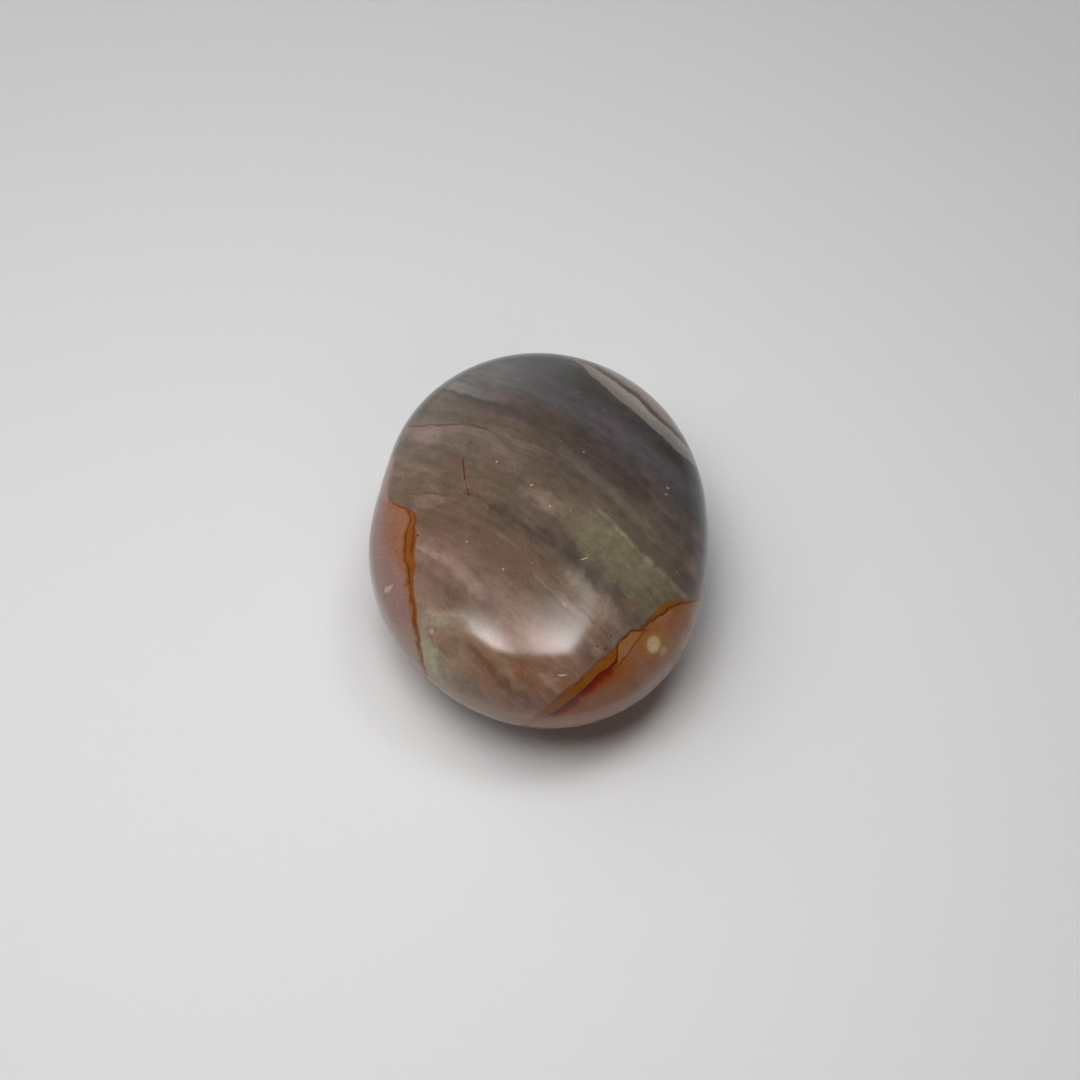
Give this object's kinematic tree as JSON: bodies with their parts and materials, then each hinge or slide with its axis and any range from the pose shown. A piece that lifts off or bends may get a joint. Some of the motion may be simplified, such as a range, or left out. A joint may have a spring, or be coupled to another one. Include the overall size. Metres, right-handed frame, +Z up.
{
  "type": "palm stone",
  "caption": "Polished polychrome jasper palm stone: a rounded, slightly lopsided pebble with banding and rust seams, for holding or display.",
  "frame": {"origin": "middle of the stone in plan, on the level it rests on", "axes": "+Y along the stone's length, +X along its width, +Z up through its thickness"},
  "size_m": [0.0534, 0.0692, 0.027],
  "materials": {
    "jasper": "polished"
  },
  "bodies": {
    "root": {"stone": "jasper"}
  },
  "joints": []
}
